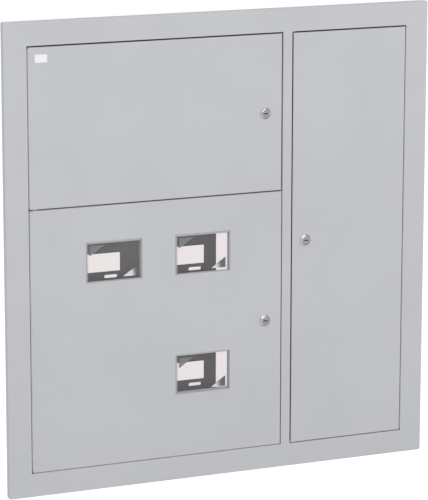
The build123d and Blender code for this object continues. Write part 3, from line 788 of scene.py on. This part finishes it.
def slab(low, high, finish):
    shape = bmesh.new()
    bmesh.ops.create_cube(shape, size=1.0)
    for vertex in shape.verts:
        vertex.co = [a + (b - a) * (c + 0.5) for a, b, c in zip(low, high, vertex.co)]
    mesh = bpy.data.meshes.new("slab")
    shape.to_mesh(mesh)
    shape.free()
    mesh.materials.append(finish)
    return mesh


# a thin strip along the top or the left return of a door, for the painted shade and painted light in the gaps
def doorGapStrip(door, side, tape, finish):
    low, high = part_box(door + "_door_panel")
    front = faceY + tape["front"]
    if side == "top":
        return slab(
            (low[0] + tape["endGap"], front, high[2]),
            (high[0] - tape["endGap"], front + tape["width"], high[2] + tape["thickness"]),
            finish,
        )
    return slab(
        (low[0] - tape["thickness"], front, low[2] + tape["endGap"]),
        (low[0], front + tape["width"], high[2] - tape["endGap"]),
        finish,
    )


# the same pale strips, painted light, on the frame's return right of the right door, and on the one under the
# lower door; each gap is the clearance from the door's edge to that return
frameGapLight = {
    "thickness": 0.2 * mm,
    "front": 1.2 * mm,
    "endGap": 4.0 * mm,
    "sideWidth": 2.6 * mm,
    "sideGap": 2.5 * mm,
    "footWidth": 3.6 * mm,
    "footGap": 1.5 * mm,
}


def frameGapLights(tape, finish):
    front = faceY + tape["front"]
    low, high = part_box("right_door_panel")
    wall = high[0] + tape["sideGap"]
    side = slab(
        (wall - tape["thickness"], front, low[2] + tape["endGap"]),
        (wall, front + tape["sideWidth"], high[2] - tape["endGap"]),
        finish,
    )
    low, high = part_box("lower_door_panel")
    ledge = low[2] - tape["footGap"]
    foot = slab(
        (low[0] + tape["endGap"], front, ledge),
        (high[0] - tape["endGap"], front + tape["footWidth"], ledge + tape["thickness"]),
        finish,
    )
    return joined("frameGapLight", [side, foot])


# a black block on the frame's top lip behind a door, painted shade where the top gap shows it, kept further
# from its hinge pins than from its free side
lipGapShade = {
    "front": 15.3 * mm,
    "depth": 3.4 * mm,
    "height": 4.6 * mm,
    "rise": 3.0 * mm,
    "hingeGap": 34.0 * mm,
    "lockGap": 12.0 * mm,
}


def gapShadeOver(door, leftGap, rightGap):
    low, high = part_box(door + "_door_panel")
    front, top = low[1] + lipGapShade["front"], high[2] + lipGapShade["rise"]
    return slab(
        (low[0] + lipGapShade[leftGap], front, top - lipGapShade["height"]),
        (high[0] - lipGapShade[rightGap], front + lipGapShade["depth"], top),
        plain["rubberBlack"],
    )


# black blocks on the top lip: painted shade in the top gaps
lipGapShades = [gapShadeOver("upper", "hingeGap", "lockGap"), gapShadeOver("right", "lockGap", "hingeGap")]
place("lipGapShade", joined("lipGapShade", lipGapShades), "cabinet")
# black strips on the door returns: painted shade in their gaps
upperGapShade = doorGapStrip("upper", "top", gapShadeStrip, plain["rubberBlack"])
place("upperDoorSeal", upperGapShade, "upper_door")
rightGapShades = [doorGapStrip("right", side, gapShadeStrip, plain["rubberBlack"]) for side in ("top", "left")]
place("rightDoorSeal", joined("rightDoorSeal", rightGapShades), "right_door")
# pale strips on the hinge-side returns: painted light in those gaps
for door in ("upper", "lower"):
    mesh = doorGapStrip(door, "left", hingeGapLight, plain["paleTape"])
    place(door + "HingeTape", mesh, door + "_door")
# pale strips on the frame's returns: painted light in the gaps there
place("frameGapLight", frameGapLights(frameGapLight, plain["paleTape"]), "cabinet")
place("cableEdging", joined("cableEdging", cableRings()), "cabinet")
# the tape and foam here are the gaps' painted shade and painted light
print("screws, edging, tape and foam ready")

# camera, fitted to the photograph's four frame corners
view = {
    "place": (-2.2046, -5.2827, 1.2107),
    "tilt": (77.987, -0.113, -23.195),
    "lens": 194.61,
    "sensor": 36.0,
    "shift": (-0.0131, -0.0268),
    "farClip": 100.0,
}
lens = bpy.data.cameras.new("camera")
lens.lens = view["lens"]
lens.sensor_width = view["sensor"]
lens.sensor_fit = "AUTO"
lens.shift_x, lens.shift_y = view["shift"]
lens.clip_end = view["farClip"]
camera = bpy.data.objects.new("camera", lens)
camera.location = view["place"]
camera.rotation_euler = Euler([math.radians(turn) for turn in view["tilt"]])
bpy.context.scene.collection.objects.link(camera)
bpy.context.scene.camera = camera

# studio: an even pale room, one wide softbox high on the left that the locks mirror, and two low fills
studio = {
    "roomLight": 0.505,
    "floorSize": 14.0,
    "floorDrop": 0.5 * mm,
    "floorColour": (0.90, 0.90, 0.90),
    "floorGlow": 0.65,
    # each lamp's place, the direction of its long side, its size and its power
    "lamps": {
        "softbox": ((-0.60, -1.48, 2.25), (3.56, 0.81, 1.79), (4.2, 1.0), 23.0),
        "lowLeft": ((-2.4, -2.7, 0.10), (1.0, -0.6, 0.0), (1.6, 1.1), 17.4),
        "lowRight": ((2.6, -2.6, 0.10), (1.0, 1.0, 0.0), (2.4, 1.1), 25.5),
    },
}


# 1 for what the camera sees, straight, mirrored or through the panes, and 0 for what lights the cabinet
def seenDirectly(graph):
    path = graph.node("ShaderNodeLightPath")
    rays = ("Camera", "Glossy", "Transmission")
    straight, mirrored, through = (Wire(graph, path.outputs["Is " + ray + " Ray"]) for ray in rays)
    return straight.larger(mirrored).larger(through)


world = bpy.data.worlds.new("room")
world.use_nodes = True
world.node_tree.nodes.clear()
graph = Nodes(world.node_tree)
white = graph.wire("ShaderNodeBackground", {}, {0: tone((1, 1, 1)), 1: 1.0})
room = graph.wire("ShaderNodeBackground", {}, {0: tone((1, 1, 1)), 1: studio["roomLight"]})
mixed = graph.wire("ShaderNodeMixShader", {}, {0: seenDirectly(graph), 1: room, 2: white})
graph.node("ShaderNodeOutputWorld", {}, {0: mixed})
bpy.context.scene.world = world


# a lamp that looks at the origin
def areaLamp(name, spot, longSide, size, power):
    lamp = bpy.data.lights.new(name, "AREA")
    lamp.shape = "RECTANGLE"
    lamp.size, lamp.size_y = size
    lamp.energy = power
    holder = bpy.data.objects.new(name, lamp)
    back = Vector(spot).normalized()
    along = Vector(longSide)
    along = (along - back * along.dot(back)).normalized()
    turn = Matrix((along, back.cross(along), back)).transposed()
    holder.matrix_world = Matrix.Translation(spot) @ turn.to_4x4()
    bpy.context.scene.collection.objects.link(holder)


for name, values in studio["lamps"].items():
    areaLamp(name, *values)

floorMesh = bpy.data.meshes.new("floor")
half = studio["floorSize"] / 2
level = cadBox[0][2] - studio["floorDrop"]
corners = [(-half, -half, level), (half, -half, level), (half, half, level), (-half, half, level)]
floorMesh.from_pydata(corners, [], [(0, 1, 2, 3)])
floor = bpy.data.objects.new("floor", floorMesh)
bpy.context.scene.collection.objects.link(floor)
graph = Graph("floorPaint")
matt = graph.wire("ShaderNodeBsdfDiffuse", {}, {0: tone(studio["floorColour"])})
strength = studio["floorGlow"] * seenDirectly(graph)
glow = graph.wire("ShaderNodeEmission", {}, {0: tone((1, 1, 1)), 1: strength})
floorMesh.materials.append(graph.show(graph.wire("ShaderNodeAddShader", {}, {0: matt, 1: glow})))
print("studio ready")

bpy.context.scene.view_settings.view_transform = "Standard"
